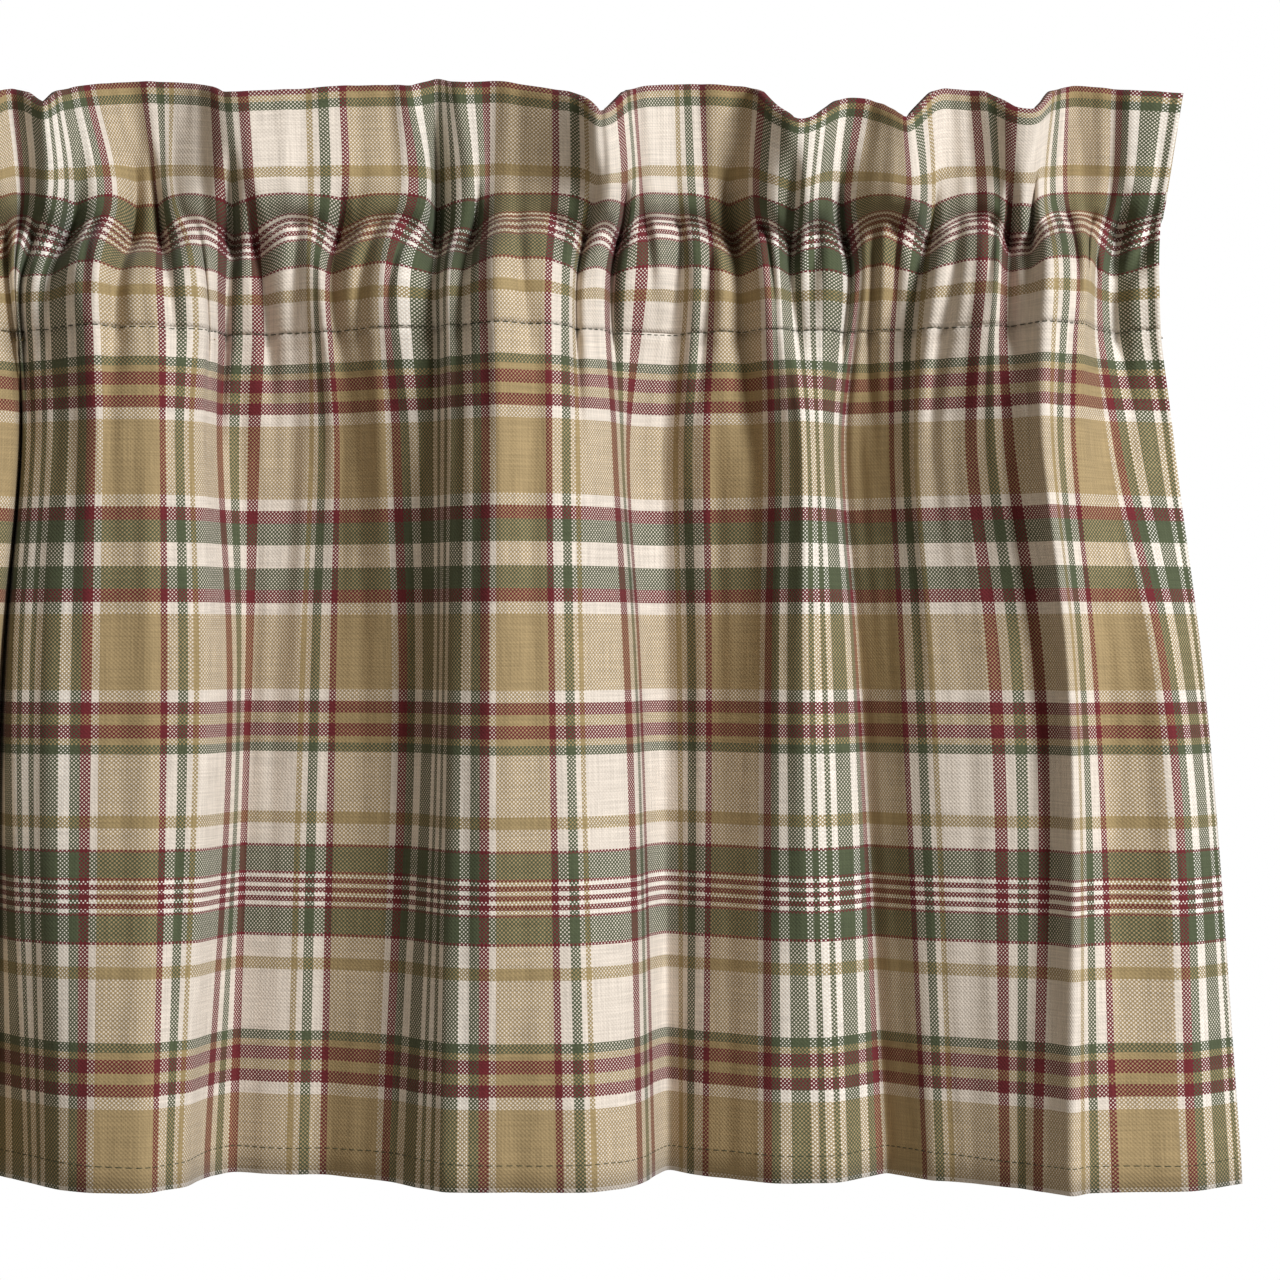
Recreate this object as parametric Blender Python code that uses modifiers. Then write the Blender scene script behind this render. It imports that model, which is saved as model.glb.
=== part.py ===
"""A hung window valance: one gathered cotton cloth with a ruffled heading and a rod pocket.

The cloth is 72 in wide and 14 in high when it is laid flat. It hangs gathered on a rod,
which is not part of it, so the cloth stands in deep uneven folds. The origin is the middle
of its top edge, +X runs along the valance, -Y faces the room and +Z is up.
"""

import bpy
import numpy as np

MM = 0.001
FLAT_WIDTH = 1829.0
FLAT_HEIGHT = 355.6
HEADING_HEIGHT = 50.8
POCKET_HEIGHT = 38.1
CLOTH_THICKNESS = 1.1
LAYER_SPACING = 2.1
PIECE_GAP = 0.5

# The pocket is held open by its own fullness: the front stands out a little, in a plain
# round, and the back falls far behind and stands nearly square at both rows of stitches.
FRONT_BULGE = 4.0
FRONT_ROUNDNESS = 1.0
BACK_BULGE = 31.0
BACK_ROUNDNESS = 0.45
BACK_GATHER = -0.25
POCKET_GATHER = 0.42

# Hung height for each flat millimetre, of the ruffled heading and of the cloth below it, and
# how far a part of the heading droops for each millimetre that it leans out or back.
HEADING_HANG = 0.885
SKIRT_HANG = 0.961
DROOP_OUT = 0.75
DROOP_BACK = 0.45

# The upper row of stitches holds the cloth back in a groove.
NECK_GROOVE = 5.0
NECK_GROOVE_HALF = 4.5

# The places in the table were measured as they are seen from a point this far in front of the
# cloth, so a fold that stands nearer looks farther out than it is.
EYE_DISTANCE = 920.0
EYE_FROM_RIGHT = 186.6
EYE_REACH = 215.0

# Softness of a fold, and the width over which the depth of the folds evens out.
FOLD_SOFTNESS = 3.2
EVEN_OUT = 65.0

# One row for each fold line of the visible right end. "flat" is the distance from the
# right finished edge on the flat cloth. The next six columns say how far left of the hem's
# right corner that line hangs, at the six heights of LEVELS. "heading_out" is how far the
# free heading leans out to the room there. "lie" says whether the cloth below the heading
# comes forward (1) or falls back (-1) from this line to the next one on its left; a share
# between them is a flatter part that wavers.
LEVELS = (0.0, 41.0, 59.0, 122.0, 187.0, 352.0)
FOLD_COLUMNS = ("flat", "top", "neck", "pocket", "drop", "middle", "hem", "heading_out", "lie")
FOLDS = (
    (0, 18, 24, 26, 21, 13, 0, 1, 1),
    (14, 34, 37, 41, 34, 21, 10, -1, 1),
    (22, 39, 41, 45, 41, 27, 17, -3, 1),
    (38, 52, 51, 49, 49, 43, 34, -7, 1),
    (50, 57, 59, 56, 57, 51, 47, -3, 1),
    (58, 60, 63, 62, 61, 54, 52, 4, -1),
    (66, 63, 66, 67, 65, 57, 57, 10, -1),
    (73, 70, 72, 74, 71, 62, 62, 9, -1),
    (83, 79, 76, 76, 79, 72, 69, 0, -1),
    (104, 93, 92, 93, 97, 92, 85, -4, -1),
    (117, 103, 101, 104, 106, 103, 96, 15, -1),
    (128, 108, 110, 112, 114, 111, 103, 10, -1),
    (140, 115, 120, 118, 123, 119, 110, 4, 1),
    (149, 123, 125, 122, 125, 121, 116, 3, 1),
    (160, 130, 133, 133, 131, 129, 124, 12, 1),
    (168, 137, 138, 140, 136, 136, 133, 16, -1),
    (179, 146, 148, 146, 143, 144, 144, 6, -1),
    (188, 152, 153, 151, 149, 150, 151, -6, -1),
    (208, 169, 167, 166, 168, 167, 168, -9, -1),
    (222, 179, 178, 176, 180, 179, 177, -8, 1),
    (233, 187, 184, 182, 189, 186, 181, -5, 1),
    (246, 190, 189, 193, 192, 188, 184, 0, 1),
    (256, 195, 194, 197, 196, 193, 188, 9, 1),
    (267, 199, 200, 204, 202, 201, 196, 11, 1),
    (274, 204, 204, 206, 207, 206, 202, 2, 0.5),
    (301, 230, 231, 231, 230, 230, 230, -13, -1),
    (317, 243, 239, 242, 243, 244, 246, -11, -1),
    (330, 249, 249, 249, 249, 249, 255, -16, -1),
    (340, 257, 252, 259, 257, 255, 261, -6, -1),
    (348, 261, 260, 264, 264, 262, 267, -8, -1),
    (367, 277, 277, 281, 279, 280, 283, -7, -0.5),
    (382, 292, 291, 290, 290, 293, 298, -3, -0.5),
    (399, 309, 306, 304, 305, 307, 312, 0, 1),
    (409, 315, 312, 312, 314, 311, 318, 0, 1),
    (418, 320, 319, 318, 318, 315, 322, -8, 1),
    (431, 328, 328, 322, 322, 320, 326, -11, 1),
    (449, 343, 337, 338, 337, 337, 339, -12, 0.6),
    (466, 356, 349, 353, 354, 355, 357, -8, -1),
    (478, 363, 358, 362, 364, 367, 367, -4, -1),
    (493, 370, 370, 375, 376, 380, 376, 7, -1),
    (508, 380, 377, 378, 377, 382, 385, -5, -1),
)
UNSEEN_SPANS = 3

# The heading stands free, so its depth comes from its own column and not from the lie.
HEADING_SHARE = {"top": 1.0, "neck": 0.8}

# Rows of the cloth, as flat distances below the top edge.
POCKET_TOP = HEADING_HEIGHT
POCKET_FOOT = HEADING_HEIGHT + POCKET_HEIGHT
STRIP_ROWS = (
    0.0, 24.0, 43.0, POCKET_TOP, POCKET_TOP + 9.0, POCKET_TOP + 29.0, POCKET_FOOT - PIECE_GAP / 2)
SKIRT_ROWS = (POCKET_FOOT + PIECE_GAP / 2, 112.0, 148.0, 200.0, 272.0, FLAT_HEIGHT)

CLOTH_COLOUR = (0.55, 0.47, 0.36, 1.0)


def fold_column(name):
    """One named column of the fold table."""
    index = FOLD_COLUMNS.index(name)
    return np.array([row[index] for row in FOLDS], dtype=float)


def span_at_level(level_name):
    """Place and depth of each fold line of the visible end, at one height."""
    flat = fold_column("flat")
    across = fold_column(level_name)
    if level_name in HEADING_SHARE:
        return flat, across, fold_column("heading_out") * HEADING_SHARE[level_name]
    run = np.diff(flat)
    step = np.diff(across)
    depth_step = np.sqrt(np.maximum(run ** 2 - step ** 2, 0.0))
    forward = np.concatenate(([0.0], np.cumsum(fold_column("lie")[:-1] * depth_step)))
    return flat, across, forward


def whole_width(level_name):
    """The visible end, then the same gathers turned about and drawn in, to the left edge."""
    flat, across, forward = span_at_level(level_name)
    neck = fold_column("neck")
    flare = across[0] - neck[0]
    shrink = (FLAT_WIDTH - flat[-1]) / UNSEEN_SPANS / flat[-1]
    plain_width = shrink * (neck[-1] - neck[0])
    e_all, x_all, y_all = list(flat), list(across), list(forward)
    for span in range(UNSEEN_SPANS):
        turned = span % 2 == 0
        order = slice(None, None, -1) if turned else slice(None)
        e_part = np.abs(flat[order] - flat[order][0]) * shrink
        x_part = np.abs(across[order] - across[order][0])
        last = span == UNSEEN_SPANS - 1
        width = plain_width - (flare if last else 0.0)
        if span == 0:
            width += neck[-1] - across[-1]
        x_part = x_part * width / x_part[-1]
        e_all.extend(e_all[-1] + e_part[1:])
        x_all.extend(x_all[-1] + x_part[1:])
        y_all.extend(forward[order][1:])
    return np.array(e_all), np.array(x_all), np.array(y_all)


def soften(values, softness):
    """A bell-shaped average along the cloth, one value for each millimetre."""
    reach = int(4 * softness)
    ruler = np.arange(-reach, reach + 1)
    bell = np.exp(-0.5 * (ruler / softness) ** 2)
    bell /= bell.sum()
    before = 2 * values[0] - values[reach:0:-1]
    after = 2 * values[-1] - values[-2:-reach - 2:-1]
    padded = np.concatenate((before, values, after))
    return np.convolve(padded, bell, mode="valid")


def fold_curves():
    """For each level, softened place across and forward depth at each flat millimetre."""
    ruler = np.arange(0.0, FLAT_WIDTH + 1.0)
    places, depths = [], []
    for name in FOLD_COLUMNS[1:7]:
        e, x, y = whole_width(name)
        depth = np.interp(ruler, e, y)
        if name not in HEADING_SHARE:
            depth = depth - soften(depth, EVEN_OUT)
        if name == "pocket":
            depth = depth * POCKET_GATHER
        places.append(soften(np.interp(ruler, e, x), FOLD_SOFTNESS))
        depths.append(soften(depth, FOLD_SOFTNESS))
    return np.array(places), np.array(depths)


PLACES, DEPTHS = fold_curves()


def between_levels(table, v):
    """A smooth curve down the cloth through the six levels of a table."""
    heights = np.array(LEVELS)
    v = min(max(v, heights[0]), heights[-1])
    slopes = np.gradient(table, heights, axis=0)
    k = min(int(np.searchsorted(heights, v, side="right")) - 1, len(heights) - 2)
    gap = heights[k + 1] - heights[k]
    t = (v - heights[k]) / gap
    low = (2 * t ** 3 - 3 * t ** 2 + 1) * table[k] + (t ** 3 - 2 * t ** 2 + t) * gap * slopes[k]
    high = (3 * t ** 2 - 2 * t ** 3) * table[k + 1] + (t ** 3 - t ** 2) * gap * slopes[k + 1]
    return low + high


def pocket_swell(v, roundness):
    """Nought at the two rows of stitches that close the pocket, one in its middle."""
    t = (v - POCKET_TOP) / POCKET_HEIGHT
    if t <= 0.0 or t >= 1.0:
        return 0.0
    return float(np.sin(np.pi * t) ** roundness)


def hung_height(v):
    """Height of a flat place: the ruffled heading leans, so it hangs shorter than the rest."""
    return -(min(v, POCKET_TOP) * HEADING_HANG + max(v - POCKET_TOP, 0.0) * SKIRT_HANG)


def front_row(columns, v):
    """Points of the front layer at one flat height, as x, y, z in millimetres."""
    ruler = np.arange(PLACES.shape[1])
    x = np.interp(columns, ruler, between_levels(PLACES, v))
    fold = np.interp(columns, ruler, between_levels(DEPTHS, v))
    forward = fold - NECK_GROOVE * np.exp(-0.5 * ((v - POCKET_TOP) / NECK_GROOVE_HALF) ** 2)
    seen_from = np.clip(x - EYE_FROM_RIGHT, -EYE_REACH, EYE_REACH)
    x = x - seen_from * forward / EYE_DISTANCE
    heading_part = max(0.0, 1.0 - v / POCKET_TOP)
    droop = np.where(fold > 0.0, DROOP_OUT, DROOP_BACK) * fold * heading_part
    y = -forward - FRONT_BULGE * pocket_swell(v, FRONT_ROUNDNESS)
    return np.stack((-x, y, hung_height(v) - droop), axis=1)


def sideways(row):
    """Unit normals of a row of points in plan, pointing to the wall."""
    along = np.gradient(row[:, :2], axis=0)
    along /= np.linalg.norm(along, axis=1)[:, None]
    return np.stack((along[:, 1], -along[:, 0]), axis=1)


def back_row(columns, v):
    """Points of the turned-over layer that lies behind the front one."""
    row = front_row(columns, v)
    stand_out = FRONT_BULGE * pocket_swell(v, FRONT_ROUNDNESS)
    swell = pocket_swell(v, BACK_ROUNDNESS)
    towards_wall = sideways(row)
    back = row.copy()
    back[:, :2] += towards_wall * LAYER_SPACING * (1.0 - swell)
    gather = -(row[:, 1] + stand_out)
    back[:, 1] += swell * (BACK_BULGE + stand_out + gather * (1.0 - BACK_GATHER))
    return back


def cloth_columns():
    """Flat places of the columns: every fold line, and the middles where it shows."""
    e = whole_width("hem")[0]
    shown = e <= fold_column("flat")[-1]
    middles = (e[:-1] + e[1:])[shown[1:]] / 2
    return np.sort(np.concatenate((e, middles)))


def hang_sheet(name, rows, material):
    """A grid laid on the given rows of points and thickened into one closed sheet."""
    across = len(rows[0])
    down = len(rows)
    bpy.ops.mesh.primitive_grid_add(x_subdivisions=across - 1, y_subdivisions=down - 1, size=1.0)
    sheet = bpy.context.object
    sheet.name = name
    sheet.data.name = name
    for index, vertex in enumerate(sheet.data.vertices):
        vertex.co = rows[index // across][index % across] * MM
    thick = sheet.modifiers.new("cloth thickness", "SOLIDIFY")
    thick.thickness = CLOTH_THICKNESS * MM
    thick.offset = 0.0
    sheet.data.materials.append(material)
    sheet.data.shade_smooth()
    return sheet


def cotton(name, colour):
    """Plain woven cotton."""
    material = bpy.data.materials.new(name)
    material.use_nodes = True
    surface = material.node_tree.nodes["Principled BSDF"]
    surface.inputs["Base Color"].default_value = colour
    surface.inputs["Roughness"].default_value = 0.9
    surface.inputs["Metallic"].default_value = 0.0
    return material


def clear_scene():
    for thing in list(bpy.data.objects):
        bpy.data.objects.remove(thing, do_unlink=True)


def build():
    clear_scene()
    collection = bpy.data.collections.new("window_valance")
    bpy.context.scene.collection.children.link(collection)
    columns = cloth_columns()
    top = front_row(columns, 0.0)
    middle = (top[0, 0] + top[-1, 0]) / 2
    home = np.array([np.interp(-middle, -top[:, 0], top[:, axis]) for axis in range(3)])

    front = [front_row(columns, v) - home for v in reversed(STRIP_ROWS)]
    back = [back_row(columns, v) - home for v in STRIP_ROWS]
    skirt = [front_row(columns, v) - home for v in SKIRT_ROWS]

    cloth = cotton("plaid cotton", CLOTH_COLOUR)
    strip = hang_sheet("heading_and_pocket", front + back, cloth)
    panel = hang_sheet("skirt", skirt[::-1], cloth)
    for sheet in (strip, panel):
        for owner in list(sheet.users_collection):
            owner.objects.unlink(sheet)
        collection.objects.link(sheet)


build()
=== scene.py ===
# %% [markdown]
# # A gathered window valance
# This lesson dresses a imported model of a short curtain, a valance, that hangs over the top of a
# window. The model is a fixed frame: plain solids at their real size. Here the same cloth gets
# its thin edge, its creases, its woven plaid, its hems and its sewing thread.

import bpy
import numpy as np
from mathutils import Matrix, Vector


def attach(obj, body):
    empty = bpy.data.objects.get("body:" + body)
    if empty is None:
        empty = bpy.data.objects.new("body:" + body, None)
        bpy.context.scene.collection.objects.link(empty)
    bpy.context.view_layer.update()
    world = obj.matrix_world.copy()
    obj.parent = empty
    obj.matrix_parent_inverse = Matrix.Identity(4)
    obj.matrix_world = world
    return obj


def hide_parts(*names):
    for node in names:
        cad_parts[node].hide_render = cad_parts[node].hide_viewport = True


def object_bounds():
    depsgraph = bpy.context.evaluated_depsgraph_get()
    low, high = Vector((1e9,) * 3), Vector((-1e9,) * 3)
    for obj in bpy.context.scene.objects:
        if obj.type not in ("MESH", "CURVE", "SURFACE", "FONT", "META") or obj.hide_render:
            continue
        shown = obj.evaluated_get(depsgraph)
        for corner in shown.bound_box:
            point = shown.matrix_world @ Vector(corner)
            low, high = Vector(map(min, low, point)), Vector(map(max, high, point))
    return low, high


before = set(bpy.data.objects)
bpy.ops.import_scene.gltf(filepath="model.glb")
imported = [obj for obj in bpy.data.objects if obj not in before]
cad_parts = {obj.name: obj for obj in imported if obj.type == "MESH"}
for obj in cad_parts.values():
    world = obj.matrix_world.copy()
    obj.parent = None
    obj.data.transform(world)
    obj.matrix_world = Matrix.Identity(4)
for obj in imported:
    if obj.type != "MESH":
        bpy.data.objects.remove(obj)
solid_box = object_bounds()
print("solids:", sorted(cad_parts), [round(side, 3) for side in solid_box[1] - solid_box[0]])

# %% [markdown]
# ## Sizes of the cloth
# A ready-made valance is one cloth, 72 inches wide and 14 inches high when it is laid flat. Its
# top is turned over to the back and sewn twice, which makes a ruffled heading and a pocket for
# the rod. Lengths are in millimetres until the mesh is made, because cloth is cut and sewn in
# whole millimetres. The short table says how far below the top edge a flat height hangs: least
# where the stitches draw the cloth in, and nearly in full at the bottom, where it hangs straight.

# %% Sizes
MM = 0.001
FLAT_WIDTH = 1829.0
FLAT_HEIGHT = 355.6
HEADING_HEIGHT = 50.8
POCKET_HEIGHT = 38.1
POCKET_FOOT = HEADING_HEIGHT + POCKET_HEIGHT
POCKET_STITCH = POCKET_FOOT - 2.6
HEM_HEIGHT = 9.5
CLOTH_THICKNESS = 0.45
LAYER_SPACING = 1.6
HEM_SPACING = 0.9
# Each row: flat height, hung height.
HANG = (
    (0.0, 0.0),
    (30.0, 26.6),
    (41.0, 34.2),
    (51.7, 39.6),
    (65.7, 53.2),
    (74.7, 62.2),
    (95.7, 83.0),
    (168.0, 152.6),
    (265.6, 248.0),
    (FLAT_HEIGHT, 338.0),
)
print("pocket from", HEADING_HEIGHT, "to", POCKET_FOOT, "mm below the top edge")

# %% [markdown]
# ## The folds, measured
# Cloth hardly stretches, so a fold can be written as two numbers: how far along the flat cloth a
# fold line is, and how far across the window that line hangs. Where the second number grows more
# slowly than the first, the cloth must run towards the room or back to the wall, and the last
# column says which: 1 comes forward, -1 falls back, and a share between them is a flatter part
# that wavers. The ruffled heading stands free, so it has a column of its own for how far each
# line leans out. A table like this keeps the unevenness that makes real gathers look real, which
# a sine wave would lose.

# %% Fold table of the right end, in millimetres
LEVELS = (0.0, 41.0, 59.0, 122.0, 187.0, 352.0)
FOLD_COLUMNS = ("flat", "top", "neck", "pocket", "drop", "middle", "hem", "heading_out", "lie")
FOLDS = (
    (0, 18, 24, 26, 21, 13, 0, 1, 1),
    (14, 34, 37, 41, 34, 21, 10, -1, 1),
    (22, 39, 41, 45, 41, 27, 17, -3, 1),
    (38, 52, 51, 49, 49, 43, 34, -7, 1),
    (50, 57, 59, 56, 57, 51, 47, -3, 1),
    (58, 60, 63, 62, 61, 54, 52, 4, -1),
    (66, 63, 66, 67, 65, 57, 57, 10, -1),
    (73, 70, 72, 74, 71, 62, 62, 9, -1),
    (83, 79, 76, 76, 79, 72, 69, 0, -1),
    (104, 93, 92, 93, 97, 92, 85, -4, -1),
    (117, 103, 101, 104, 106, 103, 96, 15, -1),
    (128, 108, 110, 112, 114, 111, 103, 10, -1),
    (140, 115, 120, 118, 123, 119, 110, 4, 1),
    (149, 123, 125, 122, 125, 121, 116, 3, 1),
    (160, 130, 133, 133, 131, 129, 124, 12, 1),
    (168, 137, 138, 140, 136, 136, 133, 16, -1),
    (179, 146, 148, 146, 143, 144, 144, 6, -1),
    (188, 152, 153, 151, 149, 150, 151, -6, -1),
    (208, 169, 167, 166, 168, 167, 168, -9, -1),
    (222, 179, 178, 176, 180, 179, 177, -8, 1),
    (233, 187, 184, 182, 189, 186, 181, -5, 1),
    (246, 190, 189, 193, 192, 188, 184, 0, 1),
    (256, 195, 194, 197, 196, 193, 188, 9, 1),
    (267, 199, 200, 204, 202, 201, 196, 11, 1),
    (274, 204, 204, 206, 207, 206, 202, 2, 0.5),
    (301, 230, 231, 231, 230, 230, 230, -13, -1),
    (317, 243, 239, 242, 243, 244, 246, -11, -1),
    (330, 249, 249, 249, 249, 249, 255, -16, -1),
    (340, 257, 252, 259, 257, 255, 261, -6, -1),
    (348, 261, 260, 264, 264, 262, 267, -8, -1),
    (367, 277, 277, 281, 279, 280, 283, -7, -0.5),
    (382, 292, 291, 290, 290, 293, 298, -3, -0.5),
    (399, 309, 306, 304, 305, 307, 312, 0, 1),
    (409, 315, 312, 312, 314, 311, 318, 0, 1),
    (418, 320, 319, 318, 318, 315, 322, -8, 1),
    (431, 328, 328, 322, 322, 320, 326, -11, 1),
    (449, 343, 337, 338, 337, 337, 339, -12, 0.6),
    (466, 356, 349, 353, 354, 355, 357, -8, -1),
    (478, 363, 358, 362, 364, 367, 367, -4, -1),
    (493, 370, 370, 375, 376, 380, 376, 7, -1),
    (508, 380, 377, 378, 377, 382, 385, -5, -1),
)
UNSEEN_SPANS = 3
print(len(FOLDS), "fold lines over", FOLDS[-1][0], "mm of flat cloth")


# %% [markdown]
# ## From the table to smooth curves
# The right end is measured; the rest of the valance repeats the same gathers, turned about and
# drawn in a little, as the same sewing machine would gather the same cloth. At each of the six
# levels this gives one curve in plan, softened to the roundness of a cotton fold.

# %% Fold curves in plan
FOLD_SOFTNESS = 2.4
EVEN_OUT = 65.0
POCKET_GATHER = 0.42
HEADING_SHARE = {"top": 1.0, "neck": 0.8}


def fold_column(name):
    """One named column of the fold table."""
    return np.array([row[FOLD_COLUMNS.index(name)] for row in FOLDS], dtype=float)


def span_at_level(level_name):
    """Place and forward depth of each fold line of the measured end, at one height."""
    flat = fold_column("flat")
    across = fold_column(level_name)
    if level_name in HEADING_SHARE:
        return flat, across, fold_column("heading_out") * HEADING_SHARE[level_name]
    depth_step = np.sqrt(np.maximum(np.diff(flat) ** 2 - np.diff(across) ** 2, 0.0))
    forward = np.concatenate(([0.0], np.cumsum(fold_column("lie")[:-1] * depth_step)))
    return flat, across, forward


def whole_width(level_name):
    """The measured end, then the same gathers turned about and drawn in, to the left edge."""
    flat, across, forward = span_at_level(level_name)
    neck = fold_column("neck")
    flare = across[0] - neck[0]
    shrink = (FLAT_WIDTH - flat[-1]) / UNSEEN_SPANS / flat[-1]
    plain_width = shrink * (neck[-1] - neck[0])
    e_all, x_all, y_all = list(flat), list(across), list(forward)
    for span in range(UNSEEN_SPANS):
        turned = span % 2 == 0
        order = slice(None, None, -1) if turned else slice(None)
        e_part = np.abs(flat[order] - flat[order][0]) * shrink
        x_part = np.abs(across[order] - across[order][0])
        width = plain_width - (flare if span == UNSEEN_SPANS - 1 else 0.0)
        if span == 0:
            width += neck[-1] - across[-1]
        e_all.extend(e_all[-1] + e_part[1:])
        x_all.extend(x_all[-1] + x_part[1:] * width / x_part[-1])
        y_all.extend(forward[order][1:])
    return np.array(e_all), np.array(x_all), np.array(y_all)


def soften(values, softness):
    """A bell-shaped average along the cloth, one value for each millimetre."""
    reach = int(4 * softness)
    bell = np.exp(-0.5 * (np.arange(-reach, reach + 1) / softness) ** 2)
    bell /= bell.sum()
    before = 2 * values[0] - values[reach:0:-1]
    after = 2 * values[-1] - values[-2:-reach - 2:-1]
    return np.convolve(np.concatenate((before, values, after)), bell, mode="valid")


def fold_curves():
    """For each level, softened place across and forward depth at each flat millimetre."""
    ruler = np.arange(0.0, FLAT_WIDTH + 1.0)
    places, depths = [], []
    for name in FOLD_COLUMNS[1:7]:
        e, x, y = whole_width(name)
        depth = np.interp(ruler, e, y)
        if name not in HEADING_SHARE:
            depth = depth - soften(depth, EVEN_OUT)
        if name == "pocket":
            depth = depth * POCKET_GATHER
        places.append(soften(np.interp(ruler, e, x), FOLD_SOFTNESS))
        depths.append(soften(depth, FOLD_SOFTNESS))
    return np.array(places), np.array(depths)


PLACES, DEPTHS = fold_curves()
print("fold depth at the hem:", DEPTHS[-1].min().round(1), "to", DEPTHS[-1].max().round(1), "mm")


# %% [markdown]
# ## Creases at the gathers
# Two rows of stitches hold the pocket, and the cloth puckers along both. Each crease below is a soft
# trough set where one shows on the real valance: its place on the flat cloth, how far it runs up and
# down, how deep and how wide it is, and how far it leans on its way down.

# %% Crease table, in millimetres
# Each row: flat place, from, to, deepest at, depth, half width, lean.
CREASES = (
    (4, 46, 82, 58, 4.5, 2.0, 14),
    (13, 34, 124, 62, 9.0, 2.6, -2),
    (22, 46, 96, 66, 5.0, 1.9, -14),
    (31, 44, 84, 55, 4.5, 1.8, 12),
    (44, 43, 92, 54, 4.0, 1.8, -4),
    (63, 20, 84, 51, 7.5, 2.1, 2),
    (72, 24, 112, 53, 8.0, 2.1, -5),
    (84, 44, 84, 54, 4.0, 1.7, 4),
    (98, 43, 122, 62, 5.0, 2.2, 6),
    (110, 14, 112, 54, 9.0, 2.3, 5),
    (122, 45, 84, 54, 4.0, 1.6, -4),
    (131, 44, 134, 66, 5.0, 2.4, -6),
    (147, 18, 122, 55, 9.0, 2.3, 8),
    (158, 45, 84, 54, 4.0, 1.6, 4),
    (168, 8, 112, 53, 9.0, 2.4, -5),
    (180, 44, 84, 54, 4.0, 1.6, -3),
    (195, 18, 132, 54, 8.5, 2.5, -4),
    (206, 43, 118, 70, 5.0, 2.0, 4),
    (218, 43, 92, 55, 4.0, 1.8, 6),
    (234, 45, 88, 56, 4.0, 1.8, -4),
    (249, 20, 112, 52, 8.5, 2.1, -6),
    (269, 18, 142, 60, 9.0, 2.3, 4),
    (280, 44, 94, 55, 4.0, 1.8, -5),
    (292, 43, 104, 62, 4.5, 2.0, -6),
    (312, 30, 108, 54, 7.5, 2.1, 4),
    (329, 2, 128, 54, 9.5, 2.8, -4),
    (341, 45, 88, 55, 4.0, 1.6, 5),
    (354, 43, 108, 62, 4.5, 2.0, 6),
    (367, 30, 104, 53, 7.5, 2.1, -6),
    (384, 43, 94, 57, 4.0, 1.8, 4),
    (398, 34, 118, 53, 7.0, 2.0, -6),
    (409, 16, 142, 55, 8.5, 2.3, 7),
    (426, 43, 122, 70, 6.0, 2.3, -4),
    (443, 18, 108, 53, 8.0, 2.1, -6),
    (456, 16, 112, 53, 8.0, 2.1, 6),
    (470, 45, 86, 55, 4.0, 1.6, -4),
    (482, 20, 114, 55, 8.5, 2.3, 5),
    (494, 34, 128, 64, 7.5, 2.3, -4),
)
MAIN_CREASE = 6.0
print(len(CREASES), "creases,", sum(row[4] > MAIN_CREASE for row in CREASES), "of them main tucks")


# %% Depth that the creases add
def unseen_creases():
    """The measured creases, then the same ones turned about and drawn in over the rest."""
    rows = [list(row) for row in CREASES]
    end = fold_column("flat")[-1]
    length = (FLAT_WIDTH - end) / UNSEEN_SPANS
    for span in range(UNSEEN_SPANS):
        for row in CREASES:
            along = row[0] / end * length
            turned = span % 2 == 0
            place = end + span * length + (length - along if turned else along)
            rows.append([place, *row[1:6], -row[6] if turned else row[6]])
    return np.array(rows, dtype=float)


ALL_CREASES = unseen_creases()
print(len(ALL_CREASES), "creases over the whole width")
CREASE_FADE = 1.5
TUCK_SHARP = 1.1
TUCK_BROAD = 0.5
TUCK_BREADTH = 2.9
TUCK_DIP = 0.65
TUCK_DIP_HALF = 13.0


def creases_at(e, v):
    """How far the creases push the cloth to the wall, and how far the main tucks sink it."""
    pressed = np.zeros_like(e)
    sunk = np.zeros_like(e)
    near_stitches = np.exp(-0.5 * ((v - HEADING_HEIGHT) / TUCK_DIP_HALF) ** 2)
    for place, start, end, deepest, depth, half_width, lean in ALL_CREASES:
        if not start < v < end:
            continue
        t = (v - deepest) / (deepest - start if v < deepest else end - deepest)
        fade = np.cos(t * np.pi / 2) ** CREASE_FADE
        off = e - place - lean * (v - deepest) / (end - start)
        sharp = np.exp(-0.5 * (off / half_width) ** 2)
        if depth < MAIN_CREASE:
            pressed += depth * fade * sharp
            continue
        broad = np.exp(-0.5 * (off / half_width / TUCK_BREADTH) ** 2)
        pressed += depth * fade * (TUCK_SHARP * sharp + TUCK_BROAD * broad)
        sunk += depth * TUCK_DIP * near_stitches * fade * broad
    return pressed, sunk


# %% Ripples, in millimetres
# Each row: wave length along the cloth, height, drift down the cloth.
RIPPLES = (
    (6.3, 0.14, 0.031),
    (9.7, 0.30, -0.021),
    (14.3, 0.42, 0.014),
    (23.9, 0.70, -0.008),
)
RIPPLE_REACH = 70.0


def ripple(e, v):
    """Shallow ripples that start at the pocket's stitches and die out up and down the cloth."""
    fade = 0.3 + 0.7 * np.exp(-0.5 * ((v - POCKET_STITCH) / RIPPLE_REACH) ** 2)
    waves = [height * np.sin(2 * np.pi * e / wave_length + drift * v + wave_length)
             for wave_length, height, drift in RIPPLES]
    return fade * sum(waves)


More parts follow.
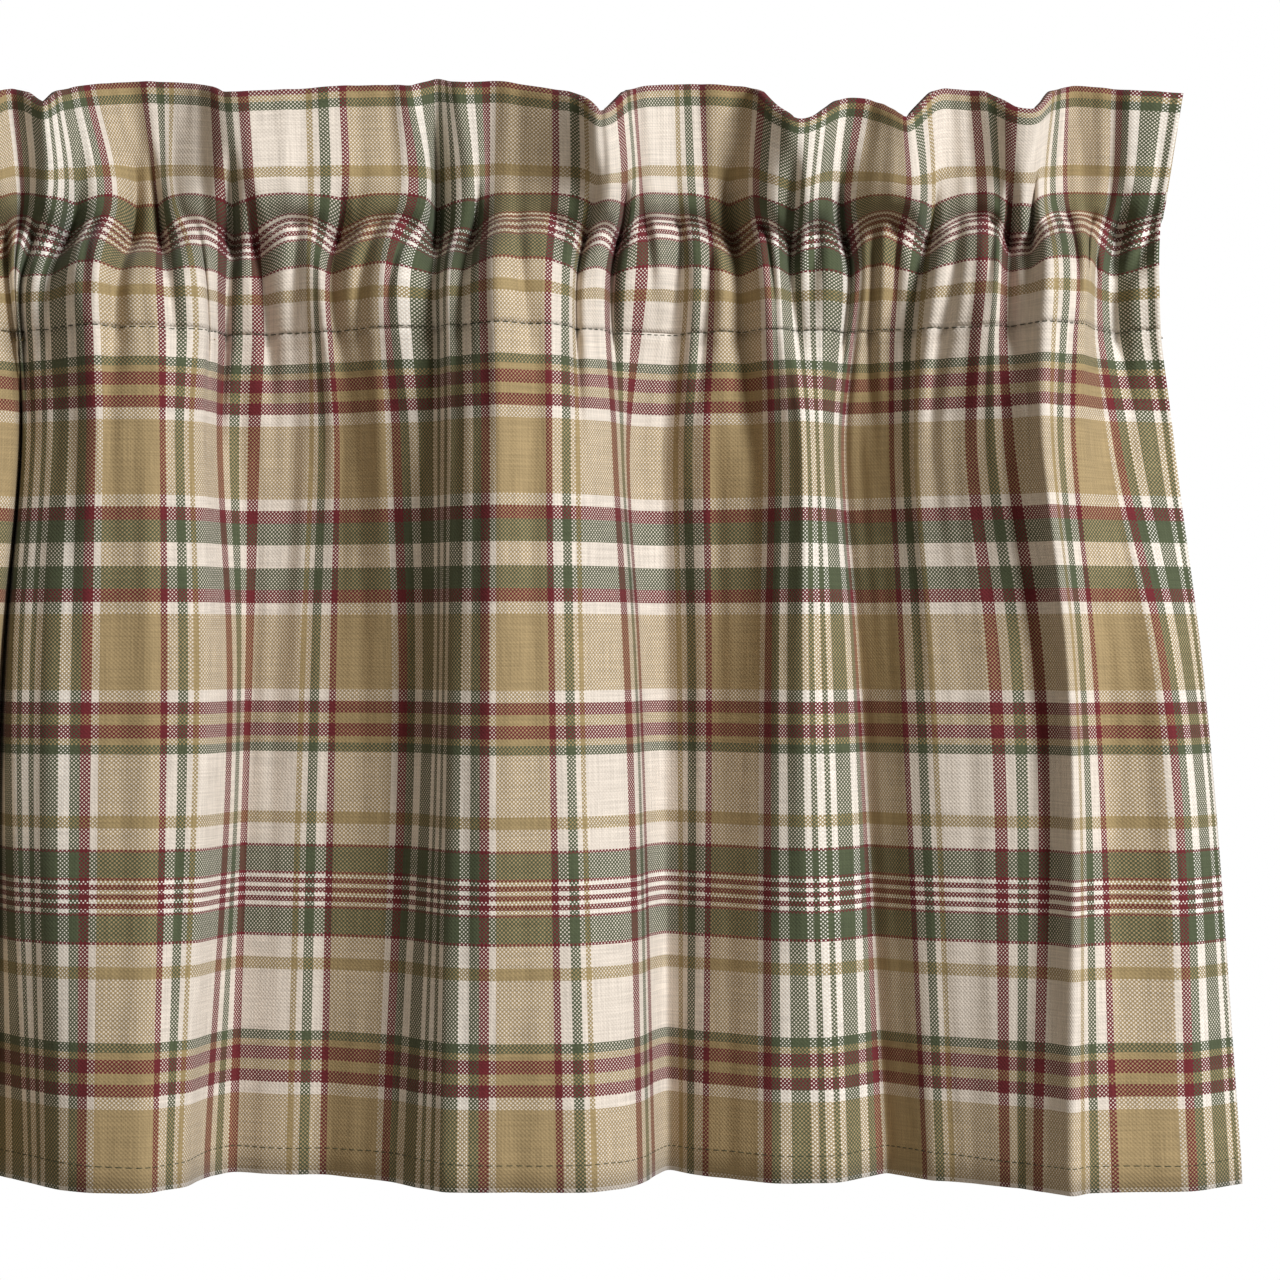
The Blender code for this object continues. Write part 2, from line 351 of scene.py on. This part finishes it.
# %% [markdown]
# ## The hung surface
# Every point of the cloth is named by its flat place: e from the right edge and v down from the
# top edge. A negative v is the part that is turned over to the back. These functions hang such a
# point: the fold curves give its plan, the creases press it in, a groove follows the upper row
# of stitches, and the pocket swells where the rod would go. A ridge of the heading that leans
# out also droops, and that notches the top edge.

# %% Hanging one row of the cloth
FRONT_BULGE = 4.0
FRONT_ROUNDNESS = 1.0
BACK_BULGE = 31.0
BACK_ROUNDNESS = 0.45
BACK_GATHER = -0.25
DROOP_OUT = 0.75
DROOP_BACK = 0.45
NECK_GROOVE = 5.0
NECK_GROOVE_HALF = 4.5
POCKET_CREASE_LOSS = 0.25
EYE_DISTANCE = 920.0
EYE_FROM_RIGHT = 186.6
EYE_REACH = 215.0


def between_levels(table, v):
    """A smooth curve down the cloth through the six levels of a table."""
    heights = np.array(LEVELS)
    v = min(max(v, heights[0]), heights[-1])
    slopes = np.gradient(table, heights, axis=0)
    k = min(int(np.searchsorted(heights, v, side="right")) - 1, len(heights) - 2)
    gap = heights[k + 1] - heights[k]
    t = (v - heights[k]) / gap
    low = (2 * t ** 3 - 3 * t ** 2 + 1) * table[k] + (t ** 3 - 2 * t ** 2 + t) * gap * slopes[k]
    high = (3 * t ** 2 - 2 * t ** 3) * table[k + 1] + (t ** 3 - t ** 2) * gap * slopes[k + 1]
    return low + high


def pocket_swell(v, roundness):
    """Nought at the two rows of stitches that close the pocket, one in its middle."""
    t = (v - HEADING_HEIGHT) / POCKET_HEIGHT
    return float(np.sin(np.pi * t) ** roundness) if 0.0 < t < 1.0 else 0.0


def neck_groove(v):
    """How far the upper row of stitches holds the cloth back."""
    return NECK_GROOVE * np.exp(-0.5 * ((v - HEADING_HEIGHT) / NECK_GROOVE_HALF) ** 2)


def hung_height(v):
    """Height of a flat place below the top edge; the gathers take up some of the cloth."""
    flat, drop = zip(*HANG)
    return -float(np.interp(v, flat, drop))


def front_row(e, v):
    """Points of the front layer at one flat height."""
    ruler = np.arange(PLACES.shape[1])
    swell = pocket_swell(v, FRONT_ROUNDNESS)
    x = np.interp(e, ruler, between_levels(PLACES, v))
    fold = np.interp(e, ruler, between_levels(DEPTHS, v))
    pressed, sunk = creases_at(e, v)
    forward = fold - pressed * (1.0 - POCKET_CREASE_LOSS * swell) - neck_groove(v) + ripple(e, v)
    seen_from = np.clip(x - EYE_FROM_RIGHT, -EYE_REACH, EYE_REACH)
    x = x - seen_from * forward / EYE_DISTANCE
    heading_part = max(0.0, 1.0 - v / HEADING_HEIGHT)
    droop = np.where(fold > 0.0, DROOP_OUT, DROOP_BACK) * fold * heading_part
    y = -forward - FRONT_BULGE * swell
    return np.stack((-x, y, hung_height(v) - droop - sunk), axis=1)


def to_wall(row):
    """Unit directions square to a row of points in plan, pointing to the wall."""
    along = np.gradient(row[:, :2], axis=0)
    along /= np.linalg.norm(along, axis=1)[:, None]
    return np.stack((along[:, 1], -along[:, 0]), axis=1)


def back_row(e, v):
    """Points of the turned-over layer behind the front one."""
    row = front_row(e, v)
    stand_out = FRONT_BULGE * pocket_swell(v, FRONT_ROUNDNESS)
    swell = pocket_swell(v, BACK_ROUNDNESS)
    back = row.copy()
    back[:, :2] += to_wall(row) * LAYER_SPACING * (1.0 - swell)
    gather = -(row[:, 1] + stand_out)
    back[:, 1] += swell * (BACK_BULGE + stand_out + gather * (1.0 - BACK_GATHER))
    return back


def hem_row(e, v):
    """Points of the bottom hem, which is turned up behind; v goes on past the bottom edge."""
    row = front_row(e, 2 * FLAT_HEIGHT - v)
    row[:, :2] += to_wall(row) * HEM_SPACING
    return row


def hung(e, v):
    """Points of the cloth at flat height v, on the back above 0 and on the hem past the bottom."""
    if v < 0.0:
        return back_row(e, -v)
    return front_row(e, v) if v <= FLAT_HEIGHT else hem_row(e, v)


# %% [markdown]
# ## Two thin sheets
# The real valance is one cloth. It is modelled as two grids that share the lower row of pocket
# stitches, because each of them stands for one solid of the frame. Columns are close together at
# the end that is seen closely and wider along the rest, and rows crowd at the pocket, where the
# creases are small. A UV map holds the flat place of each point in metres, and the plaid is
# woven on that map, so the stripes bend with every fold as real yarn does.

# %% Columns and rows of the cloth
SEEN_WIDTH = 508.0
SEEN_SPACING = 1.1
UNSEEN_COLUMNS = 367
TOP_TURN = 0.6
HEADING_LAST_ROW = 40.0
POCKET_FIRST_ROW = 41.8
SKIRT_CLOSE_ROWS_END = 130.0
SKIRT_WIDE_ROWS_START = 137.0
HEM_TURN = 0.5
columns = np.concatenate((
    np.arange(0.0, SEEN_WIDTH, SEEN_SPACING),
    np.linspace(SEEN_WIDTH, FLAT_WIDTH, UNSEEN_COLUMNS),
))
strip_rows = np.concatenate((
    -np.linspace(POCKET_FOOT, TOP_TURN, 14),
    np.linspace(TOP_TURN, HEADING_LAST_ROW, 12),
    np.linspace(POCKET_FIRST_ROW, POCKET_STITCH, 27),
))
skirt_rows = np.concatenate((
    np.linspace(POCKET_STITCH, SKIRT_CLOSE_ROWS_END, 16),
    np.linspace(SKIRT_WIDE_ROWS_START, FLAT_HEIGHT - HEM_TURN, 24),
    np.linspace(FLAT_HEIGHT + HEM_TURN, FLAT_HEIGHT + HEM_HEIGHT, 3),
))
print(len(columns), "columns by", len(strip_rows), "and", len(skirt_rows), "rows")


# %% Home of the cloth in the frame
def frame_home():
    """The shift that puts the middle of the top edge at the frame's origin."""
    top = front_row(columns, 0.0)
    middle = (top[0, 0] + top[-1, 0]) / 2
    return np.array([np.interp(-middle, -top[:, 0], top[:, axis]) for axis in range(3)])


HOME = frame_home()
print("home of the cloth:", HOME.round(1))


# %% Mesh of each sheet
def two_faces(points):
    """The inner side and the outer side of a sheet, half a thickness off its middle."""
    outward = np.cross(np.gradient(points, axis=1), np.gradient(points, axis=0))
    outward /= np.linalg.norm(outward, axis=2)[:, :, None]
    half = outward * CLOTH_THICKNESS / 2
    return points - half, points + half


def grid_mesh(name, rows):
    """A closed thin sheet over the whole width, with its flat places as a UV map.

    The faces are smooth and the cut edges are flat, so the edges don't darken the cloth.
    """
    points = np.array([hung(columns, v) - HOME for v in rows])
    flat_places = np.array([np.stack((columns, np.full_like(columns, v)), axis=1) for v in rows])
    down, across = points.shape[:2]
    first = np.arange(down * across).reshape(down, across)
    second = first + down * across
    sides = []
    for corner, turned in ((first, False), (second, True)):
        quad = [corner[:-1, :-1], corner[1:, :-1], corner[1:, 1:], corner[:-1, 1:]]
        sides.append(np.stack(quad[::-1] if turned else quad, axis=-1).reshape(-1, 4))
    rim = np.concatenate((first[0, :-1], first[:-1, -1], first[-1, :0:-1], first[:0:-1, 0]))
    after = np.roll(rim, -1)
    edge = np.stack((rim, after, after + down * across, rim + down * across), axis=-1)
    quads = np.concatenate(sides + [edge])
    mesh = bpy.data.meshes.new(name)
    both = np.concatenate([side.reshape(-1, 3) for side in two_faces(points)])
    mesh.from_pydata((both * MM).tolist(), [], quads.tolist())
    smooth = np.arange(len(quads)) < len(quads) - len(edge)
    mesh.polygons.foreach_set("use_smooth", smooth)
    flat_map = mesh.uv_layers.new(name="flat_cloth")
    places = np.tile(flat_places.reshape(-1, 2), (2, 1))[quads.reshape(-1)]
    flat_map.uv.foreach_set("vector", (places * MM).astype(np.float32).ravel())
    sheet = bpy.data.objects.new(name, mesh)
    bpy.context.scene.collection.objects.link(sheet)
    print(name, len(quads) * 2, "triangles")
    return sheet


heading_cloth = grid_mesh("heading_cloth", strip_rows)
skirt_cloth = grid_mesh("skirt_cloth", skirt_rows)

# %% [markdown]
# ## Sewing thread
# Three rows of dark green lockstitch hold the valance: under the heading, under the pocket and
# along the hem. A painted line would stay flat, so each stitch is a short bowed tube that dips
# into the cloth at both ends, as a pulled thread does.

# %% Stitches
STITCH_LENGTH = 2.5
STITCH_GAP = 0.5
THREAD_THICKNESS = 0.26
STITCHED_ROWS = (HEADING_HEIGHT, POCKET_STITCH, FLAT_HEIGHT - 8.8)
WANDER = 0.7
STITCH_RINGS = ((0.0, -0.14, 0.6), (0.25, 0.10, 1.0), (0.75, 0.10, 1.0), (1.0, -0.14, 0.6))


def sewn_line(e, v):
    """Places along a row of stitches, which wanders a little as hand-fed sewing does."""
    share = 0.5 + 0.3 * np.sin(e / 31.0) + 0.2 * np.sin(e / 11.3)
    above = front_row(e, v - WANDER) - HOME
    below = front_row(e, v + WANDER) - HOME
    return above + (below - above) * share[:, None]


def stitch_rings(v):
    """Four-sided rings of one row of stitches: stitch, ring along it, corner, axis."""
    start = np.arange(2.0, FLAT_WIDTH - 4.0, STITCH_LENGTH + STITCH_GAP)
    up = np.array([0.0, 0.0, 1.0])
    rings = []
    for share, lift, size in STITCH_RINGS:
        e = start + share * STITCH_LENGTH
        step = sewn_line(e + 0.5, v) - sewn_line(e - 0.5, v)
        out = np.stack((-step[:, 1], step[:, 0], np.zeros(len(e))), axis=1)
        out /= np.linalg.norm(out, axis=1)[:, None]
        centre = sewn_line(e, v) + out * (CLOTH_THICKNESS / 2 + lift)
        half = THREAD_THICKNESS / 2 * size
        rings.append(np.stack(
            (centre + out * half, centre + up * half, centre - out * half, centre - up * half), axis=1))
    return np.stack(rings, axis=1)


def sew():
    """One mesh of all the stitches."""
    rings = np.concatenate([stitch_rings(v) for v in STITCHED_ROWS])
    count, along, corners = rings.shape[:3]
    first = (np.arange(count) * along * corners)[:, None]
    faces = []
    for ring in range(along - 1):
        for side in range(corners):
            after = (side + 1) % corners
            low = ring * corners
            faces.append((low + side, low + after, low + corners + after, low + corners + side))
    last = (along - 1) * corners
    faces.append((3, 2, 1, 0))
    faces.append((last, last + 1, last + 2, last + 3))
    all_faces = (first[:, :, None] + np.array(faces)[None]).reshape(-1, 4)
    mesh = bpy.data.meshes.new("green_thread")
    mesh.from_pydata((rings * MM).reshape(-1, 3).tolist(), [], all_faces.tolist())
    mesh.shade_smooth()
    thread = bpy.data.objects.new("green_thread", mesh)
    bpy.context.scene.collection.objects.link(thread)
    print(count, "stitches,", len(all_faces) * 2, "triangles")
    return thread


thread = sew()

# %% [markdown]
# ## Plaid cotton
# The cloth is yarn-dyed plain weave: the warp and weft threads are dyed before weaving, so a
# stripe of the warp crosses every stripe of the weft, and where two colours cross, the eye sees a
# fine check of both. The material is built that way too. Two ramps list the stripes of the warp
# and the weft in real widths, and a small check decides which thread lies on top.

# %% Small helpers for nodes
def linear(hex_colour):
    """An sRGB hex colour as linear RGBA, which is what Blender's sockets take."""
    channels = [int(hex_colour[i:i + 2], 16) / 255 for i in (1, 3, 5)]
    return (*[c / 12.92 if c <= 0.04045 else ((c + 0.055) / 1.055) ** 2.4 for c in channels], 1.0)


def add_node(tree, kind, inputs=None, **settings):
    """One node with its settings, and its inputs set to values or linked to sockets."""
    node = tree.nodes.new(kind)
    for key, value in settings.items():
        setattr(node, key, value)
    for key, value in (inputs or {}).items():
        if isinstance(value, bpy.types.NodeSocket):
            tree.links.new(value, node.inputs[key])
        else:
            node.inputs[key].default_value = value
    return node


# %% Yarn colours and the stripes of the plaid
YARN = {
    "cream": "#DCD0C2",
    "white": "#EDE6DB",
    "tan": "#A8926C",
    "khaki": "#A08C64",
    "green": "#565C44",
    "burgundy": "#702C30",
}
WARP_HALF = 81.2
WARP_STRIPES = (
    (1.1, "white"), (1.9, "green"), (2.2, "white"), (6.2, "green"), (3.3, "white"),
    (3.4, "green"), (2.9, "burgundy"), (2.3, "cream"), (18.3, "tan"), (2.2, "burgundy"),
    (3.3, "cream"), (3.3, "green"), (1.9, "cream"), (1.9, "khaki"), (17.7, "cream"),
    (4.2, "burgundy"), (3.1, "cream"), (2.1, "green"),
)
WEFT_HALF = 106.95
WEFT_MIDDLE = 51.7
WEFT_STRIPES = (
    (0.8, "burgundy"), (1.2, "white"), (1.5, "burgundy"), (1.3, "white"), (0.9, "burgundy"),
    (7.7, "green"), (1.2, "burgundy"), (6.6, "cream"), (3.6, "khaki"), (19.2, "cream"),
    (2.9, "green"), (2.1, "khaki"), (4.1, "burgundy"), (3.7, "khaki"), (3.5, "burgundy"),
    (3.9, "cream"), (23.6, "tan"), (4.0, "cream"), (4.1, "burgundy"), (7.1, "green"),
    (3.95, "cream"),
)
for title, stripes, half in (("warp", WARP_STRIPES, WARP_HALF), ("weft", WEFT_STRIPES, WEFT_HALF)):
    print(title, round(sum(width for width, _ in stripes), 2), "of", half, "mm in half a repeat")


# %% Stripe ramps
def stripe_ramp(tree, place, stripes):
    """A ramp of hard-edged stripes; place runs from 0 to the stripes' whole width in mm."""
    whole = sum(width for width, _ in stripes)
    share = add_node(tree, "ShaderNodeMath", {0: place, 1: whole}, operation="DIVIDE")
    node = add_node(tree, "ShaderNodeValToRGB", {"Fac": share.outputs[0]})
    ramp = node.color_ramp
    ramp.interpolation = "CONSTANT"
    edge = 0.0
    for index, (width, yarn) in enumerate(stripes):
        stop = ramp.elements[0] if index == 0 else ramp.elements.new(edge / whole)
        stop.position = edge / whole
        stop.color = linear(YARN[yarn])
        edge += width
    last = ramp.elements[len(ramp.elements) - 1]
    if last.position >= 1.0:
        ramp.elements.remove(last)
    return node.outputs["Color"]


# %% The plaid cotton material
THREAD_PAIR = 1.3
CHECK_EDGE = 0.08
DARK_SHARE = 0.5
# The real threads repeat every 0.75 mm, too fine for the render, so they are drawn coarser.
# Where two colours cross, the darker yarn gets the larger dots, so each crossing reads darker than an
# even mix.
SLUBS_ACROSS = 1800.0
SLUBS_ALONG = 60.0
# Slubs in each metre: a thick place is about half a millimetre wide and 17 mm long.


def plaid_cotton():
    """Yarn-dyed plain-weave cotton: matt, slightly slubby, with a fine check where stripes cross."""
    material = bpy.data.materials.new("plaid_cotton")
    material.use_nodes = True
    tree = material.node_tree
    tree.nodes.clear()
    maths = "ShaderNodeMath"
    flat = add_node(tree, "ShaderNodeUVMap", uv_map="flat_cloth")
    split = add_node(tree, "ShaderNodeSeparateXYZ", {0: flat.outputs[0]})
    e = add_node(tree, maths, {0: split.outputs["X"], 1: 1000.0}, operation="MULTIPLY").outputs[0]
    v = add_node(tree, maths, {0: split.outputs["Y"], 1: 1000.0}, operation="MULTIPLY").outputs[0]

    warp_place = add_node(tree, maths, {0: e, 1: WARP_HALF}, operation="PINGPONG").outputs[0]
    warp = stripe_ramp(tree, warp_place, WARP_STRIPES)
    below = add_node(tree, maths, {0: v, 1: WEFT_MIDDLE}, operation="SUBTRACT").outputs[0]
    weft_place = add_node(tree, maths, {0: below, 1: WEFT_HALF}, operation="PINGPONG").outputs[0]
    weft = stripe_ramp(tree, weft_place, WEFT_STRIPES)

    turn = 2 * np.pi / THREAD_PAIR
    wave_e = add_node(tree, maths, {0: e, 1: turn}, operation="MULTIPLY").outputs[0]
    wave_v = add_node(tree, maths, {0: v, 1: turn}, operation="MULTIPLY").outputs[0]
    sin_e = add_node(tree, maths, {0: wave_e}, operation="SINE").outputs[0]
    sin_v = add_node(tree, maths, {0: wave_v}, operation="SINE").outputs[0]
    check = add_node(tree, maths, {0: sin_e, 1: sin_v}, operation="MULTIPLY").outputs[0]
    warp_tone = add_node(tree, "ShaderNodeRGBToBW", {0: warp}).outputs[0]
    weft_tone = add_node(tree, "ShaderNodeRGBToBW", {0: weft}).outputs[0]
    paler = add_node(tree, maths, {0: warp_tone, 1: weft_tone}, operation="SUBTRACT").outputs[0]
    shifted = add_node(
        tree, maths, {0: paler, 1: DARK_SHARE, 2: check}, operation="MULTIPLY_ADD").outputs[0]
    on_top = add_node(
        tree, "ShaderNodeMapRange",
        {"Value": shifted, "From Min": -CHECK_EDGE, "From Max": CHECK_EDGE}).outputs["Result"]
    woven = add_node(
        tree, "ShaderNodeMix", {"Factor": on_top, "A": warp, "B": weft},
        data_type="RGBA").outputs["Result"]

    slub_map = add_node(
        tree, "ShaderNodeMapping",
        {"Vector": flat.outputs[0], "Scale": (SLUBS_ACROSS, SLUBS_ALONG, 1.0)})
    warp_slub = add_node(
        tree, "ShaderNodeTexNoise", {"Vector": slub_map.outputs[0], "Scale": 1.0, "Detail": 2.0})
    pick_map = add_node(
        tree, "ShaderNodeMapping",
        {"Vector": flat.outputs[0], "Scale": (SLUBS_ALONG, SLUBS_ACROSS, 1.0)})
    weft_slub = add_node(
        tree, "ShaderNodeTexNoise", {"Vector": pick_map.outputs[0], "Scale": 1.0, "Detail": 2.0})
    slubs = add_node(
        tree, maths, {0: warp_slub.outputs["Fac"], 1: weft_slub.outputs["Fac"]}, operation="ADD")
    shade = add_node(
        tree, "ShaderNodeMapRange",
        {"Value": slubs.outputs[0], "From Min": 0.7, "From Max": 1.3, "To Min": 0.84, "To Max": 1.16})
    coloured = add_node(
        tree, "ShaderNodeMix", {"Factor": 1.0, "A": woven, "B": shade.outputs["Result"]},
        data_type="RGBA", blend_type="MULTIPLY").outputs["Result"]

    height = add_node(
        tree, maths, {0: check, 1: slubs.outputs[0]}, operation="ADD").outputs[0]
    bump = add_node(
        tree, "ShaderNodeBump", {"Height": height, "Strength": 0.35, "Distance": 0.0002})
    surface = add_node(
        tree, "ShaderNodeBsdfPrincipled",
        {"Base Color": coloured, "Roughness": 0.88, "Sheen Weight": 0.12,
         "Sheen Roughness": 0.5, "Specular IOR Level": 0.2, "Normal": bump.outputs[0]})
    add_node(tree, "ShaderNodeOutputMaterial", {"Surface": surface.outputs[0]})
    return material


cotton = plaid_cotton()
heading_cloth.data.materials.append(cotton)
skirt_cloth.data.materials.append(cotton)

# %% [markdown]
# ## Green sewing cotton
# The thread is spun cotton, twisted from plies. It is a little smoother than the cloth, so it catches a
# soft light, and its twist shows as fine slanted bands, whose grooves are painted a darker green as
# painted shade.

# %% Thread material
PLY_TWIST = 0.6


def sewing_cotton():
    """Twisted green sewing thread."""
    material = bpy.data.materials.new("green_sewing_cotton")
    material.use_nodes = True
    tree = material.node_tree
    tree.nodes.clear()
    place = add_node(tree, "ShaderNodeTexCoord")
    bands = add_node(
        tree, "ShaderNodeTexWave",
        {"Vector": place.outputs["Object"], "Scale": 0.314 / (PLY_TWIST * MM), "Distortion": 0.4},
        bands_direction="DIAGONAL")
    # Painted shade: the twist bands that make the bump also darken the green in their grooves.
    colour = add_node(
        tree, "ShaderNodeMix",
        {"Factor": bands.outputs["Fac"], "A": linear("#34382B"), "B": linear("#56593F")},
        data_type="RGBA")
    bump = add_node(
        tree, "ShaderNodeBump", {"Height": bands.outputs["Fac"], "Strength": 0.4, "Distance": 0.0001})
    surface = add_node(
        tree, "ShaderNodeBsdfPrincipled",
        {"Base Color": colour.outputs["Result"], "Roughness": 0.7, "Normal": bump.outputs[0]})
    add_node(tree, "ShaderNodeOutputMaterial", {"Surface": surface.outputs[0]})
    return material


thread.data.materials.append(sewing_cotton())

# %% [markdown]
# ## What stands for what
# Each sheet takes the place of one solid, which is hidden, and rides on the one body of this model.
# Flat, the heading and pocket are twice as high as they look, because they are turned over to the
# back, and the skirt has its hem.

for piece in (heading_cloth, skirt_cloth, thread):
    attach(piece, "root")
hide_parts("heading_and_pocket")
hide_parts("skirt")

# %% [markdown]
# ## The room and the camera
# The photograph is a plain studio shot: a level camera, a white ground and soft light from the
# right, so that every fold has a bright side and a shaded one.

# %% Camera
PHOTO_PIXELS = 1280
PHOTO_MM_PER_PIXEL = 0.3105
HEM_CORNER_PIXEL = 1240
TOP_EDGE_PIXEL = 85
SENSOR_MM = 36.0
scene = bpy.context.scene
view_width = PHOTO_PIXELS * PHOTO_MM_PER_PIXEL
right_edge = solid_box[1].x / MM
eye_x = right_edge - (HEM_CORNER_PIXEL - PHOTO_PIXELS / 2) * PHOTO_MM_PER_PIXEL
eye_z = -(PHOTO_PIXELS / 2 - TOP_EDGE_PIXEL) * PHOTO_MM_PER_PIXEL
camera_data = bpy.data.cameras.new("camera")
camera_data.sensor_width = SENSOR_MM
camera_data.lens = SENSOR_MM * EYE_DISTANCE / view_width
camera_data.clip_end = 50.0
camera = bpy.data.objects.new("camera", camera_data)
camera.location = (eye_x * MM, -EYE_DISTANCE * MM, eye_z * MM)
camera.rotation_euler = (np.pi / 2, 0.0, 0.0)
scene.collection.objects.link(camera)
scene.camera = camera
print("camera at", [round(c, 3) for c in camera.location], "lens", round(camera_data.lens, 1))

# %% Floor, lights and ground
FLOOR_BELOW = 2.0
bpy.ops.mesh.primitive_plane_add(size=9.0, location=(0.0, 0.0, -FLOOR_BELOW))
floor = bpy.context.object
floor.name = "pale_floor"
floor_paint = bpy.data.materials.new("pale_floor")
floor_paint.use_nodes = True
floor_paint.node_tree.nodes["Principled BSDF"].inputs["Base Color"].default_value = linear("#ECEAE6")
floor.data.materials.append(floor_paint)


def soft_light(name, place, aim, size, power, colour):
    """A square soft box at a place, turned to its aim."""
    data = bpy.data.lights.new(name, "AREA")
    data.shape = "SQUARE"
    data.size = size
    data.energy = power
    data.color = colour
    lamp = bpy.data.objects.new(name, data)
    lamp.location = place
    lamp.rotation_euler = (Vector(aim) - Vector(place)).to_track_quat("-Z", "Y").to_euler()
    scene.collection.objects.link(lamp)
    return lamp


aim = (eye_x * MM, 0.0, eye_z * MM)
key_place = (aim[0] + 1.7, -1.75, 0.75)
fill_place = (aim[0] - 1.6, -2.2, -0.2)
soft_light("key_light", key_place, aim, size=0.8, power=82.0, colour=(0.91, 0.95, 1.0))
soft_light("fill_light", fill_place, aim, size=1.6, power=4.0, colour=(1.0, 0.93, 0.84))
print("key light at", [round(c, 2) for c in key_place], "aimed at the part that shows")

world = bpy.data.worlds.new("white_ground")
scene.world = world
world.use_nodes = True
sky = world.node_tree
sky.nodes.clear()
rays = add_node(sky, "ShaderNodeLightPath")
ambient = add_node(sky, "ShaderNodeBackground", {"Color": (1.0, 0.87, 0.7, 1.0), "Strength": 0.19})
ground = add_node(sky, "ShaderNodeBackground", {"Color": (1.0, 1.0, 1.0, 1.0), "Strength": 1.0})
seen = add_node(
    sky, "ShaderNodeMixShader",
    {0: rays.outputs["Is Camera Ray"], 1: ambient.outputs[0], 2: ground.outputs[0]})
add_node(sky, "ShaderNodeOutputWorld", {"Surface": seen.outputs[0]})
scene.view_settings.view_transform = "Standard"
scene.view_settings.look = "None"
scene.view_settings.gamma = 0.92
